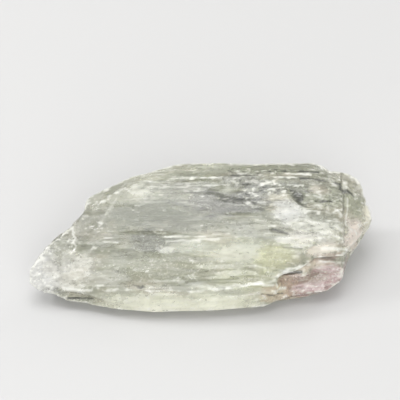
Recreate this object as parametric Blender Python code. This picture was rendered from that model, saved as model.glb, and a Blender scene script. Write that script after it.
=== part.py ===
"""Kunzite crystal: one natural piece of gem spodumene, lying on a flat cleavage face.

The crystal is a flattened prism that runs along X, with its pointed end at -X and its broken end at +X.
It is lofted between unlike sections: every section joins the same named edge lines, which run from end to
end. Ledges, etched hollows and chips are then carved into that blank, all but the face that it rests on.
"""

import math

import bmesh
import bpy
import numpy as np
from mathutils import Vector, noise

MM = 0.001

# Driving dimensions, in millimetres. The blank is stretched to exactly this size.
LENGTH = 75.0
DEPTH = 32.5
HEIGHT = 18.5

# The crystal's edge lines, as (x, y, z) in millimetres on the blank, from the pointed end to the broken
# end. They are in order round the section: under the front, up the broad face, over the back and under it.
EDGE_LINES = {
    "base_front": [(-36, -6.9, 3.8), (-30, -8, 1.6), (-26, -8.8, 0), (-20, -10, 0), (-10, -11, 0),
                   (7, -10.5, 0), (18, -8.4, 0), (23, -7.4, 0), (28, -6, 1.6), (31.2, -3.2, 3),
                   (32.8, 0.8, 4), (35.6, 3.8, 5.2), (38, 7.4, 7.4)],
    "toe": [(-36.2, -8.3, 5), (-34, -9.9, 4), (-31, -10.2, 3.2), (-29.8, -10.3, 2.2), (-28.5, -10.9, 2),
            (-24, -11.2, 2), (-20.5, -12.2, 2), (-17, -13, 2), (-10.5, -13.6, 2), (-2, -13.6, 2),
            (7, -13, 2), (14.3, -12.2, 2), (17.8, -10.7, 2.4), (20, -9.9, 2.7), (23, -9.4, 2.7),
            (27, -8.9, 3), (30.7, -6.7, 4.1), (31.4, -3.8, 5), (32.3, 0, 6), (34.3, 2.6, 6.6),
            (35.9, 5.2, 7), (38, 7.2, 8)],
    "step_foot": [(-36.2, -7.2, 5.4), (-30, -9, 5), (-21, -11.2, 6), (-10.5, -12.8, 7), (0, -12.6, 7),
                  (8.5, -11.7, 7), (16.8, -10.2, 8), (17.9, -7.6, 8), (23, -6.5, 8.6), (25, -4.6, 9),
                  (31.1, -3.2, 8.7), (33.5, 0.6, 8.4), (38, 7.2, 8.4)],
    "step_edge": [(-36.2, -6.8, 5.7), (-30, -8.7, 5.5), (-21, -10.9, 6.5), (-10.5, -12.5, 7.5),
                  (0, -12.3, 7.5), (8.5, -11.3, 7.6), (16.8, -9.7, 8.7), (17.9, -9.2, 9), (22, -8.2, 9.5),
                  (24.5, -6.1, 10), (31.1, -4.5, 9.5), (33.5, -0.4, 9), (38, 7.1, 8.8)],
    "broad_face": [(-35.6, -5.4, 6.6), (-30, -3.5, 8.6), (-21.5, -2.6, 11), (-10.5, -2, 12.6),
                   (0, -1.9, 13.1), (10.5, -3, 13.5), (21.5, -3.6, 13.5), (30, -2.6, 12.5), (33.7, 1, 11.3),
                   (37, 5, 10)],
    "crest": [(-35.6, -5, 7), (-32.4, -2, 10), (-27, 2.3, 12), (-23, 6.4, 13.6), (-17.5, 9, 15.4),
              (-11, 10.7, 17), (-4.5, 11.9, 17.8), (2, 11.6, 18.2), (11, 11.3, 18.3), (20, 11.3, 18.1),
              (26.3, 11.2, 17.6), (29.6, 11, 16.6), (33, 10.7, 15.2), (35.7, 9.6, 13), (37.3, 7.4, 10.6)],
    "strip_foot": [(-35.6, -4.8, 7), (-32.4, -1.6, 9.9), (-27, 2.8, 11.9), (-23, 6.9, 13.5),
                   (-17.5, 9.5, 15.3), (-11, 11.2, 16.9), (-4.5, 12.4, 17.5), (2, 12.2, 17.6),
                   (11, 11.9, 17.6), (20, 11.9, 17.4), (26.3, 11.7, 16.9), (29.6, 11.4, 16.2),
                   (33, 11.1, 14.9), (35.7, 10, 12.8), (37.3, 7.8, 10.4)],
    "back_edge": [(-35.9, -4.9, 7), (-34.2, -2.6, 7.8), (-31.8, 0.6, 8.8), (-29.7, 2.6, 9.8),
                  (-28, 3.7, 10.7), (-24.9, 6.4, 12.2), (-24.5, 9.4, 13.2), (-23.6, 10.3, 13.6),
                  (-20.3, 11.8, 14.4), (-15, 14.4, 15), (-10, 16, 16), (-5, 17.5, 16.6), (1, 17.6, 16.9),
                  (6, 17.4, 16.9), (11, 17.1, 17), (18, 17.1, 17.1), (25, 17.3, 17.1), (27.6, 17.1, 16.2),
                  (29, 16.1, 15.5), (33, 16.4, 14.5), (34.8, 16, 13.8), (36.6, 13.5, 12.1),
                  (37.2, 11.6, 11), (38, 8.5, 8.8)],
    "heel": [(-36.2, -5.8, 5.8), (-31.8, 1.5, 6.5), (-28, 4.8, 7), (-25.2, 7.4, 7.5), (-24.9, 9.9, 8),
             (-20, 12.6, 8), (-10, 16.6, 8.5), (0, 18.4, 8.5), (18, 18, 8.5), (25, 18.4, 8.5),
             (29, 17.2, 8.5), (33, 17.6, 8.5), (35, 16, 8.5), (37, 11.8, 8.5), (38.2, 8.7, 8.2)],
    "base_back": [(-36, -6, 4), (-31, -0.5, 1.8), (-26, 3.5, 0), (-20, 8.5, 0), (-10, 12, 0), (0, 13.5, 0),
                  (18, 13.5, 0), (24, 13, 0), (29, 12.5, 1.4), (33, 12, 3), (36, 10, 5), (38, 8.6, 7.4)],
}
# How many strips each face is cut into, from the edge line of that name to the next one.
STRIPS = {"base_front": 5, "toe": 12, "step_foot": 3, "step_edge": 27, "broad_face": 36, "crest": 2,
          "strip_foot": 14, "back_edge": 16, "heel": 18, "base_back": 6}
FACING_UP = ("step_edge", "broad_face", "crest", "strip_foot")

TIP_X = -35.6
BROKEN_END_X = 37.3
END_REACH = 0.85  # how far each rounded end stands past the last section
END_RINGS = 4
END_TURN = math.radians(84)  # a quarter turn would shrink the last ring to a point
STATIONS = 270
TRIANGLES = 9400
SEED = 7

# The crystal is a bundle of parallel columns. Each column ends a little proud of its neighbours or short of
# them, in stretches along its length, which makes the long ledges.
BROAD_FACE_TILT = math.radians(23)
COLUMN_WIDTH = 2.6
COLUMN_THICKNESS = 1.7
COLUMN_EDGE_SHARPNESS = 14.0
COLUMN_STRETCH = (9.0, 34.0)
COLUMN_FADE = 0.45  # the share of a stretch in which it blends into the next one
COLUMN_WANDER = 0.5  # how far the columns' edges stray sideways
COLUMN_WANDER_SIZE = 6.0
COLUMN_SCATTER = 0.4  # how far a column lies from its place in an even grid, in columns
COLUMN_PIECES = 64
END_RAGGEDNESS = 0.3  # how much the place of a stretch's end changes across a column
LEDGE_HEIGHT = 0.36
# Soft unevenness inside the ledges, and the rougher surface of the tip and of the broken end.
GRAIN_HEIGHT = 0.13
GRAIN_SIZE = 2.2
ROUGH_HEIGHT = 0.4
ROUGH_SIZE = 1.6
ROUGH_TIP_X = -29.0
ROUGH_END_X = 31.0
ROUGH_BLEND = 5.0
BASE_SNAP = 0.03  # points this close to the resting plane are put on it
CLEAR_OF_BASE = (0.2, 1.2)  # relief fades in between these heights, so the resting face stays flat

# The broken end is a lower lobe, split from the broad face by a crack across the crystal.
LOBE_X = 31.4
LOBE_DROP = 0.6

# The ridge between the broad face and the end face beside the pointed end: its line as (x, y), its height,
# and how far it falls away towards the tip and towards the middle.
END_RIDGE = [(-24.5, -4), (-21.7, 1.8), (-18.8, 6.9), (-15.9, 13.8)]
END_RIDGE_HEIGHT = 0.45
END_RIDGE_WIDTHS = (7.0, 13.0)

# Stretches that are smoother than the rest, as (centre, half sizes): on the broad face, along the straight
# top edge at the back, and along the slanting edge beside the tip.
SMOOTH_STRETCHES = [
    ((-8.5, 4.8, 14.6), (15.0, 6.0, 5.0)),
    ((8.5, 17.2, 16.7), (22.0, 3.0, 3.0)),
    ((-20, 12.0, 14.3), (9.0, 3.0, 3.0)),
]
SMOOTH_SHARE = 0.25  # of the ledges' height, left on them

# The left wall of the recess at the front leans: it runs towards the tip as it goes down.
RECESS_TOP = 8.0
RECESS_WALL_X = 17.4
RECESS_REACH = 5.0
RECESS_LEAN = 0.1
RECESS_RAGGEDNESS = 0.45

# Long steps on the front half of the broad face: their line as (x, y), and the drop in front of it.
STEPS = [
    ([(20, -6), (23.5, -4.6), (25.8, -2.6), (33.5, -1.6), (38, 1)], 0.5),
    ([(-36, -6.2), (-24, -7.6), (-12, -8.8), (2, -9.2), (14, -8)], 0.3),
]
STEP_SLOPE = 0.5  # how far in plan each step takes to drop
STEP_RAGGEDNESS = 0.7
STEP_GRAIN = 1.5
STEP_RUN_IN = 4.0  # the stretches over which a step rises from nothing and fades again
STEP_RUN_OUT = 1.5

# Etched hollows and chips: centre (x, y, z), half sizes along and across the crystal, and depth.
HOLLOWS = [
    ((7.5, 7.5, 17.0), (6.0, 3.0), 0.6),
    ((22.4, 6.0, 16.8), (3.2, 2.0), 0.9),
    ((18.5, 3.0, 15.6), (5.0, 3.2), 0.5),
    ((26.5, 6.3, 16.5), (3.0, 0.9), 0.8),
    ((24.5, -1.0, 14.2), (6.0, 1.1), 0.45),
    ((-27.0, -10.6, 3.8), (3.4, 0.8), 0.9),
    ((-9.0, -3.5, 12.0), (4.0, 1.4), 0.35),
    ((3.0, -10.8, 8.2), (7.0, 1.2), 0.4),
    ((-31.5, -6.0, 6.8), (2.6, 1.8), 0.5),
    ((12.0, 18.0, 9.5), (7.0, 3.0), 0.8),
    ((-9.0, 15.8, 7.0), (5.5, 1.9), 0.7),
    ((30.0, 16.6, 7.5), (3.6, 2.6), 0.8),
]
HOLLOW_RAGGEDNESS = 0.5
HOLLOW_GRAIN = 1.3
HOLLOW_REACH = 1.3  # how far past its half sizes a ragged hollow may spread


def edge_line_at(name, x):
    """The point of an edge line in the section at x."""
    points = np.array(EDGE_LINES[name], float)
    return np.array([x, np.interp(x, points[:, 0], points[:, 1]), np.interp(x, points[:, 0], points[:, 2])])


def section(x):
    """One closed section: the points round it, strip by strip."""
    names = list(EDGE_LINES)
    ring = []
    for name, following in zip(names, names[1:] + names[:1]):
        start, end = edge_line_at(name, x), edge_line_at(following, x)
        for step in range(STRIPS[name]):
            ring.append(start + (end - start) * step / STRIPS[name])
    return np.array(ring)


def rounded_end(ring, direction):
    """The rings that close one end: the section shrinks to almost nothing round the turn."""
    centre = ring.mean(axis=0)
    rings = []
    for step in range(1, END_RINGS + 1):
        angle = END_TURN * step / END_RINGS
        reach = np.array([direction * END_REACH * math.sin(angle), 0, 0])
        rings.append(centre + (ring - centre) * math.cos(angle) + reach)
    return rings


def blank():
    """The sections' points as an array (section, point round it, coordinate), with both ends rounded."""
    sections = [section(x) for x in np.linspace(TIP_X, BROKEN_END_X, STATIONS)]
    tip = rounded_end(sections[0], -1)
    broken_end = rounded_end(sections[-1], 1)
    return np.array(tip[::-1] + sections + broken_end)


def outward_normals(points):
    """The direction out of the crystal at each point of the lofted surface."""
    along = np.gradient(points, axis=0)
    around = np.roll(points, -1, axis=1) - np.roll(points, 1, axis=1)
    normals = np.cross(along, around)
    return normals / np.maximum(np.linalg.norm(normals, axis=2, keepdims=True), 1e-9)


def smooth_step(low, high, values):
    """0 below low, 1 above high, and a smooth rise between them."""
    t = np.clip((values - low) / (high - low), 0, 1)
    return t * t * (3 - 2 * t)


def faces_up():
    """True for each point round a section that lies on a face that looks up."""
    return np.array([name in FACING_UP for name in EDGE_LINES for _ in range(STRIPS[name])])


def noise_field(points, size, stretch, octaves):
    """Fractal noise from about -1 to 1, its bumps of the given size, drawn out along the crystal."""
    scaled = points / (np.array([stretch, 1, 1]) * size)
    values = [noise.fractal(Vector(p), 1.0, 2.0, octaves) for p in scaled.reshape(-1, 3)]
    return np.array(values).reshape(points.shape[:-1])


def column_relief(points, rng):
    """How far the column under each point stands out, from -1 to 1.

    A column's edges are steep, and wander a little. Along its length it swells and fades.
    """
    cos_tilt, sin_tilt = math.cos(BROAD_FACE_TILT), math.sin(BROAD_FACE_TILT)
    wander = COLUMN_WANDER * noise_field(points, COLUMN_WANDER_SIZE, 2.5, 2)
    across = (points[..., 1] * cos_tilt + points[..., 2] * sin_tilt + wander) / COLUMN_WIDTH
    through = (points[..., 2] * cos_tilt - points[..., 1] * sin_tilt) / COLUMN_THICKNESS
    cells_across = np.arange(math.floor(across.min()) - 1, math.ceil(across.max()) + 2)
    cells_through = np.arange(math.floor(through.min()) - 1, math.ceil(through.max()) + 2)
    centres = np.array([(a, t) for a in cells_across for t in cells_through], float)
    centres += rng.uniform(-COLUMN_SCATTER, COLUMN_SCATTER, centres.shape)
    stretches = rng.uniform(*COLUMN_STRETCH, len(centres))
    phases = rng.uniform(0, 1, len(centres))
    heights = rng.uniform(-1, 1, (len(centres), COLUMN_PIECES))
    offsets = np.stack([across, through], -1)[..., None, :] - centres
    distance = (offsets ** 2).sum(axis=-1)
    nearness = np.exp(-COLUMN_EDGE_SHARPNESS * (distance - distance.min(axis=-1, keepdims=True)))
    nearness /= nearness.sum(axis=-1, keepdims=True)
    along = points[..., 0, None] / stretches + phases + END_RAGGEDNESS * across[..., None]
    number = np.floor(along).astype(int)
    fade = smooth_step(1 - COLUMN_FADE, 1, along - number)
    columns = np.arange(len(centres))
    this = heights[columns, number % COLUMN_PIECES]
    following = heights[columns, (number + 1) % COLUMN_PIECES]
    return (nearness * (this * (1 - fade) + following * fade)).sum(axis=-1)


def step_depth(points):
    """How deep the surface lies in front of the long steps, in millimetres."""
    x, y = points[..., 0], points[..., 1]
    ragged = STEP_RAGGEDNESS * noise_field(points, STEP_GRAIN, 3, 2)
    depth = np.zeros(points.shape[:-1])
    for line, drop in STEPS:
        line_x, line_y = np.array(line, float).T
        in_front = np.interp(x, line_x, line_y) - y + ragged
        rise = smooth_step(line_x[0], line_x[0] + STEP_RUN_IN, x)
        fade = smooth_step(line_x[-1] - STEP_RUN_OUT, line_x[-1], x)
        depth += drop * smooth_step(0, STEP_SLOPE, in_front) * rise * (1 - fade) * faces_up()
    return depth


def hollow_depth(points):
    """How deep the hollows and chips go at each point, in millimetres."""
    ragged = HOLLOW_RAGGEDNESS * noise_field(points, HOLLOW_GRAIN, 2.5, 3)
    depth = np.zeros(points.shape[:-1])
    for centre, (half_along, half_across), deepest in HOLLOWS:
        offset = points - np.array(centre)
        along = offset[..., 0] / half_along
        across = np.hypot(offset[..., 1], offset[..., 2]) / half_across
        inside = np.clip(1 - along ** 2 - across ** 2 + ragged, 0, 1)
        inside *= np.hypot(along, across) < HOLLOW_REACH
        depth = np.maximum(depth, deepest * inside)
    return depth


def end_ridge(points):
    """How far the end ridge stands out at each point, in millimetres."""
    line_x, line_y = np.array(END_RIDGE, float).T
    past = points[..., 0] - np.interp(points[..., 1], line_y, line_x)
    width = np.where(past < 0, *END_RIDGE_WIDTHS)
    return END_RIDGE_HEIGHT * np.clip(1 - np.abs(past) / width, 0, 1) * faces_up()


def share_of_ledges(points):
    """1 where the ledges have their full height, and less on the smooth stretches."""
    share = np.ones(points.shape[:-1])
    for centre, half in SMOOTH_STRETCHES:
        distance = np.linalg.norm((points - np.array(centre)) / np.array(half), axis=-1)
        share = np.minimum(share, SMOOTH_SHARE + (1 - SMOOTH_SHARE) * smooth_step(0.6, 1.2, distance))
    return share


def leaning(points):
    """The blank with the left wall of the recess leaning and ragged."""
    window = 1 - smooth_step(0, RECESS_REACH, np.abs(points[..., 0] - RECESS_WALL_X))
    window *= 1 - smooth_step(-8, -6, points[..., 1])
    shift = RECESS_LEAN * (points[..., 2] - RECESS_TOP)
    shift += RECESS_RAGGEDNESS * noise_field(points, STEP_GRAIN, 1, 2)
    result = points.copy()
    result[..., 0] += window * shift
    return result


def carve(points):
    """The blank with its ledges, grain, hollows, rough ends and broken lobe, and a flat resting face."""
    rng = np.random.default_rng(SEED)
    points = leaning(points)
    x, z = points[..., 0], points[..., 2]
    roughness = np.maximum(1 - smooth_step(ROUGH_TIP_X - ROUGH_BLEND, ROUGH_TIP_X, x),
                           smooth_step(ROUGH_END_X, ROUGH_END_X + ROUGH_BLEND, x))
    relief = LEDGE_HEIGHT * share_of_ledges(points) * column_relief(points, rng)
    relief += end_ridge(points)
    relief += GRAIN_HEIGHT * noise_field(points, GRAIN_SIZE, 4, 3)
    relief += ROUGH_HEIGHT * roughness * noise_field(points, ROUGH_SIZE, 1.3, 3)
    relief -= hollow_depth(points) + step_depth(points)
    relief -= LOBE_DROP * (faces_up() & (x > LOBE_X))
    relief *= smooth_step(*CLEAR_OF_BASE, z)
    return points + outward_normals(points) * relief[..., None]


def stretched(points):
    """The points stretched to the driving dimensions, centred over the origin and resting on z = 0."""
    low, high = points.min(axis=(0, 1)), points.max(axis=(0, 1))
    middle = (low + high) / 2
    origin = np.array([middle[0], middle[1], low[2]])
    return (points - origin) * np.array([LENGTH, DEPTH, HEIGHT]) / (high - low)


def build_mesh(points):
    """A closed mesh over the sections, with a fan over each end."""
    rings, around = points.shape[:2]
    bm = bmesh.new()
    verts = [[bm.verts.new(p) for p in ring] for ring in points]
    for ring in range(rings - 1):
        for k in range(around):
            following = (k + 1) % around
            bm.faces.new((verts[ring][k], verts[ring][following],
                          verts[ring + 1][following], verts[ring + 1][k]))
    for ring in (0, rings - 1):
        hub = bm.verts.new(points[ring].mean(axis=0))
        for k in range(around):
            bm.faces.new((hub, verts[ring][k], verts[ring][(k + 1) % around]))
    bmesh.ops.triangulate(bm, faces=bm.faces)
    bmesh.ops.recalc_face_normals(bm, faces=bm.faces)
    mesh = bpy.data.meshes.new("crystal_blank")
    bm.to_mesh(mesh)
    bm.free()
    return mesh


def simplified(mesh):
    """The mesh with about TRIANGLES faces, closer together where the surface bends."""
    dense = bpy.data.objects.new("crystal_dense", mesh)
    bpy.context.scene.collection.objects.link(dense)
    decimate = dense.modifiers.new("fewer_faces", "DECIMATE")
    decimate.ratio = TRIANGLES / len(mesh.polygons)
    evaluated = dense.evaluated_get(bpy.context.evaluated_depsgraph_get())
    result = bpy.data.meshes.new_from_object(evaluated)
    bpy.data.objects.remove(dense)
    for vertex in result.vertices:
        if vertex.co.z < BASE_SNAP * MM:
            vertex.co.z = 0
    return result


def kunzite_material():
    """Pale grey-green gem spodumene."""
    material = bpy.data.materials.new("kunzite")
    material.use_nodes = True
    shader = material.node_tree.nodes["Principled BSDF"]
    shader.inputs["Base Color"].default_value = (0.56, 0.57, 0.47, 1)
    shader.inputs["Roughness"].default_value = 0.25
    shader.inputs["IOR"].default_value = 1.66
    shader.inputs["Transmission Weight"].default_value = 0.6
    return material


def main():
    for old in list(bpy.data.objects):
        bpy.data.objects.remove(old)
    mesh = simplified(build_mesh(stretched(carve(blank())) * MM))
    crystal = bpy.data.objects.new("crystal", mesh)
    mesh.materials.append(kunzite_material())
    collection = bpy.data.collections.new("kunzite_crystal")
    bpy.context.scene.collection.children.link(collection)
    collection.objects.link(crystal)


main()
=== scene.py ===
"""Looks of the kunzite crystal: a rough, pale grey-green crystal with a frosted tip and one pink corner.

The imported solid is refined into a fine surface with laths, cracks, broken patches and frosting, and gets
see-through procedural materials. Sizes and places are in millimetres in the row frame, and colours are
8-bit display colours, unless a comment says otherwise. Left, right, front and back are the photo's.
"""

import math

import bmesh
import bpy
import numpy as np
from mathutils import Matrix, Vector, noise


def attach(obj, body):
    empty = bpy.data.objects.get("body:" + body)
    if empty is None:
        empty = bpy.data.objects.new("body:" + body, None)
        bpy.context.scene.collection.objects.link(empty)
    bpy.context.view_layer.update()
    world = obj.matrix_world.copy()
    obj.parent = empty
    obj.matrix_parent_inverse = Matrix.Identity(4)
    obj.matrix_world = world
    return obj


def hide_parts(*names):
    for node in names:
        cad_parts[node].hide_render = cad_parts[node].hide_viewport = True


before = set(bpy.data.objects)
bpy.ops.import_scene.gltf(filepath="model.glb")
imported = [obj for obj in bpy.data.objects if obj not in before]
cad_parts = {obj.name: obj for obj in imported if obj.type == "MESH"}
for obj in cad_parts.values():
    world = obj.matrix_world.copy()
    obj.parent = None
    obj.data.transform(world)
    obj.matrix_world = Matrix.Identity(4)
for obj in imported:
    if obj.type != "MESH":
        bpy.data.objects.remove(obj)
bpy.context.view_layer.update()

MM = 0.001

# Camera: it looks along +Y and down.
CAMERA_ELEVATION = math.radians(42)
CAMERA_DISTANCE = 340.0
CAMERA_TARGET = (-0.6, 10.1, 10.4)
CAMERA_LENS = 137.3
CAMERA_CLIP_START = 0.01  # metres

# The stage, in metres and linear colours.
FLOOR_SIZE = 3.0
FLOOR_LEVEL = -0.0001  # just under the crystal, so that the two flat faces don't meet
FLOOR_COLOUR = (0.55, 0.55, 0.55, 1)
FLOOR_ROUGHNESS = 0.6
ROOM_COLOUR = (1.0, 0.99, 0.97, 1)
ROOM_STRENGTH = 0.62
LIGHTS = (  # name, place, side, power in watts
    ("overhead", (-0.10, 0.15, 0.70), 0.60, 2.9),
    ("left", (-0.45, 0.15, 0.40), 0.12, 1.0),
    ("front", (0.10, -0.60, 0.30), 0.45, 2.6),
    ("back_right", (0.35, 0.50, 0.30), 0.20, 0.5),
)

# The fine surface.
VOXEL = 0.27
SMOOTHING_ROUNDS = 2
DOUBLES_DISTANCE = 1e-7  # metres, within which the solid's vertices are joined
FLAT_LEVEL = 0.15  # height up to which the surface has no relief, so that it rests flat
RELIEF_LEVEL = 1.0  # height from which the relief is whole
RIDGE_ROUNDS = 6  # of smoothing, under which small ridges and grooves vanish
# Small ridges get a painted highlight and small grooves painted shade, growing with their height:
RIDGE_HEIGHT = 0.07  # a ridge or groove of this height has its full tone
# The crystal's own edges get a painted highlight, partly also chipped white edges:
EDGE_ROUNDS = 30  # of smoothing, under which the crystal's own edges are rounded off
EDGE_HEIGHT = 0.35
PLACE_EDGE = (0.6, 1.15)  # where a place's edge starts and ends, as shares of its half size
RAGGEDNESS = 0.35  # of that edge, as a share of the half size

# Laths: small columns that lie along the crystal, each at a level of its own.
SEED = 11
BROAD_FACE_TILT = math.radians(23)
LATH_WANDER = 0.7
LATH_NUMBERS = (97, 89, 31)  # columns, layers and laths in a row, after which their random levels repeat
LATH_SCATTER = (7.3, 12.9, 4.1)  # of the laths' ends, in lengths, and its change by column and by layer
LATH_FADE = 0.6  # the share of a lath's length after which it fades into the following one
LATH_RELIEF = ((0.09, 1.2, 1.1, 11.0), (0.03, 0.5, 0.6, 6.0))  # height, width, thickness, length
LATH_TONES = (0.45, 0.8, 9.0)  # width, thickness and length of the laths that differ in tone alone

# The rest of the relief.
UNEVENNESS = 0.4
SHATTERED_UNEVENNESS = 1.4  # more, where the crystal is shattered
STRIATION_HEIGHT = 0.008
ROUGH_HEIGHT = 0.12
ROUGH_DEPTH = 0.02  # by which a rough patch lies lower on average
FINE_ROUGH_HEIGHT = 0.07
BROKEN_END = (31.0, 35.0)  # along X: where the broken end starts to be rough, and where it is fully so
BROKEN_END_ROUGHNESS = 0.8
CALMING = 0.8  # the share of the unevenness that a calm place takes away

# Milkiness and small features.
MILK_STREAKS = 0.7  # how much streaks change a milky place
BODY_STREAKS = 0.06  # how much they add elsewhere
# Painted light on the small relief: a highlight on each small ridge and shade in each small groove.
RIDGE_LIGHT_AND_SHADE = 0.25  # of a ridge or groove, and twice that where the crystal is shattered
STRAY_HAIRS = 0.5  # strength of the hairs outside the hairy places
QUIETING = 0.6  # the share of the ridges' tone that a quiet place takes away
MILK_VEIL = 0.6  # the share of a dark feature that full milkiness hides
# Painted shade in the grooves:
GROOVE_SHADE = 4.0  # per millimetre of depth
PLAIN_SHARE = 0.3  # of the hairlines and the grain, outside the places that have them

# The crystal is split into this many materials, from the clearest to the cloudiest transmission.
HAZE_LEVELS = 7
CLEAREST = 0.88
CLOUDIEST = 0.34
BODY_HAZE = 0.4  # where the crystal is neither milky nor clear
HAZE_MOTTLES = 0.12
FEATURE_HAZE = 0.65  # of a white or dark small feature

# The crystal's substance. Its absorption has a linear colour, and a density per metre.
IOR = 1.66
ABSORPTION_COLOUR = (0.82, 0.835, 0.72, 1.0)
ABSORPTION_DENSITY = 6.0
BUMP_DEPTH = 0.05
BUMP_STRENGTH = 0.7
GRAIN_BUMP = 0.6  # the grain's height in the bump, where that of the striations is 1
ROUGHNESS = (  # three parts that are added up, as (value, start, end, roughness at the start, at the end)
    ("tone", 0.35, 0.65, 0.1, 0.2),
    ("milk", 0.2, 0.9, 0.0, 0.3),
    ("grain", 0.4, 0.65, 0.0, 0.08),
)

# Places on the crystal, as (centre, half sizes).

# The tip and the bevels at the left.
TIP = ((-35.5, -9.0, 5.5), (7.0, 8.0, 6.5))
TIP_SHOULDER = ((-28.0, -8.8, 7.8), (7.0, 5.0, 4.0))
LOWER_LEFT = ((-27.3, -12.4, 5.6), (4.3, 2.4, 2.2))
SLANTED_EDGE = ((-29.5, -2.5, 10.5), (3.5, 6.5, 4.0))
LEFT_FACET = ((-23.5, 1.5, 12.8), (4.5, 5.0, 3.5))
DOTS = ((-23.7, -1.2, 12.3), (3.2, 2.0, 2.2))
LEFT_BEVEL = ((-20.5, 8.0, 14.5), (7.0, 8.0, 4.0))
# A pale edge, whitened further as painted light on a facet that lies in shade.
OUTER_BEVEL = ((-23.4, 5.0, 13.8), (2.6, 5.0, 2.4))

# The upper and middle faces, from the left to the middle.
# Milky, and lightened as painted light on a band that the lamps leave darker.
UPPER_LEFT_RIM = ((-11.8, 12.2, 15.9), (11.2, 3.2, 2.6))
UPPER_LEFT_CLOUD = ((-13.2, 6.4, 16.2), (4.8, 2.6, 2.5))
UPPER_HAIRS = ((-5.0, 8.0, 17.0), (14.0, 3.6, 3.0))
UPPER_GREY = ((-5.0, 6.9, 16.8), (9.0, 2.3, 1.8))
# Grey-green crystal, darkened further to paint in dark ground seen through the clear crystal.
SMOOTH_GREY = ((-10.5, 0.7, 14.1), (10.5, 3.9, 3.0))
MIDDLE_GREY = ((-4.5, -2.0, 13.8), (8.5, 2.2, 2.0))
STREAK_BAND = ((-0.5, -4.9, 12.8), (8.0, 1.1, 2.0))
WHITE_BLOB = ((-7.5, -7.2, 11.6), (2.2, 0.9, 1.6))
DARK_LEFT = ((-11.3, -5.0, 12.1), (5.0, 3.4, 2.6))
MILKY_LEFT = ((-2.0, -6.8, 12.2), (4.8, 1.7, 2.0))
MILKY_MIDDLE = ((7.6, -8.0, 11.7), (8.0, 3.6, 3.0))

# The crest, with its broken patches.
GREY_PATCH = ((3.5, 3.2, 15.8), (9.0, 3.8, 2.8))
DARK_MOTTLES = ((8.6, 3.6, 16.0), (4.2, 2.3, 2.2))
CREST_PATCH = ((9.0, 8.9, 17.8), (7.0, 3.0, 2.5))
CREST_FLECKS = ((7.5, 11.8, 17.6), (5.0, 1.2, 1.6))
CREST_GREY = ((11.0, 4.1, 16.8), (3.8, 5.2, 2.2))
WHITE_SPOT = ((5.5, 7.7, 17.3), (0.8, 1.3, 1.5))

# The shattered part at the right.
SHATTERED = ((20.5, 3.5, 15.0), (13.0, 8.5, 5.0))
SHARDS = ((15.5, 6.4, 17.0), (6.5, 2.0, 1.8))
ARC = ((12.5, 5.4, 16.8), (4.0, 2.2, 2.0))
CLOUD = ((18.6, 0.8, 15.2), (3.8, 3.8, 3.0))
SLATE = ((20.9, 4.7, 15.9), (1.3, 1.8, 1.4))
BEIGE_LATH = ((25.2, 6.4, 16.7), (2.6, 1.4, 1.6))
GREEN_LATHS = ((26.5, 4.6, 15.6), (4.2, 3.2, 2.2))
SHADE = ((15.4, -3.8, 14.2), (3.6, 1.1, 1.6))
LENS = ((17.6, -6.1, 13.4), (2.7, 0.8, 1.6))
RIGHT_FLECKS = ((24.0, -2.8, 14.0), (6.5, 3.6, 3.0))
RIGHT_BRIGHT = ((21.8, -5.6, 13.2), (4.8, 2.2, 1.8))
RIGHT_GREY = ((26.0, 0.2, 14.1), (4.4, 1.6, 1.8))
UPPER_RIGHT_GREY = ((21.5, 8.0, 17.4), (7.0, 2.8, 1.8))

# The strip along the top.
TOP_STRIP = ((13.0, 14.2, 17.3), (19.0, 3.2, 2.2))
TOP_LIGHT = ((0.5, 13.4, 16.9), (5.0, 2.4, 2.0))
STRIP_SHADE = ((16.5, 11.4, 17.7), (9.5, 1.0, 1.3))

# The front, from the pitted face down to the bottom edge.
ORANGE_PEEL = ((-6.0, -10.7, 9.6), (15.0, 4.1, 3.2))
SMALL_PITS = ((-9.5, -14.0, 7.1), (4.6, 0.7, 1.2))
LOW_PITS = ((-0.5, -15.2, 5.6), (5.0, 0.9, 1.2))
YELLOW_GREEN = ((15.6, -8.8, 11.3), (4.8, 3.4, 3.2))
YELLOW_LEFT = ((8.5, -12.2, 7.6), (9.0, 3.0, 3.4))
# Painted light: the lower band is milky, and it and the bottom edge are whitened for light passing through
# and against the shade by the floor.
LOWER_BAND = ((-5.5, -15.6, 3.2), (22.5, 3.4, 3.6))
BOTTOM_EDGE_GLOW = ((-4.0, -16.4, 2.2), (14.0, 1.6, 1.8))
LOW_LIGHT = ((0.5, -14.1, 6.4), (8.5, 1.4, 1.6))
LEFT_LOW_LIGHT = ((-20.5, -11.2, 7.9), (5.0, 1.5, 1.6))

# The recessed pink corner.
# The pink band is a shaded copy of the pink, painted shade, and the two bands after it are lit copies,
# painted light.
PINK_BAND = ((27.0, -6.9, 9.2), (6.0, 2.0, 1.3))
PINK_LIT_BAND = ((23.5, -8.6, 8.4), (7.0, 2.4, 1.4))
PINK_LIT_EDGE = ((25.5, -7.0, 11.2), (6.0, 1.6, 1.5))
PINK_BEIGE = ((18.5, -11.5, 4.5), (6.0, 4.5, 4.2))
PINK_CORNER = ((27.0, -9.5, 4.0), (7.5, 6.5, 4.6))
# Painted shade under the pink ledge.
PINK_UNDER_LEDGE_SHADE = ((24.0, -10.2, 5.8), (4.4, 1.6, 1.3))
PINK_TIP = ((30.0, -8.0, 4.0), (2.5, 3.0, 3.0))
LOW_BEIGE = ((15.0, -13.0, 4.5), (3.5, 2.0, 3.0))

# The broken lobe at the right end.
LOBE_GREEN = ((34.2, 6.5, 12.3), (4.0, 4.2, 3.0))
LOBE_TOP = ((33.5, 11.5, 13.4), (4.5, 3.2, 3.0))
LOBE_PINK = ((33.8, -1.2, 9.5), (5.0, 5.0, 5.0))
LOBE_END = ((36.6, 5.0, 9.0), (2.2, 6.0, 4.0))

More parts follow.
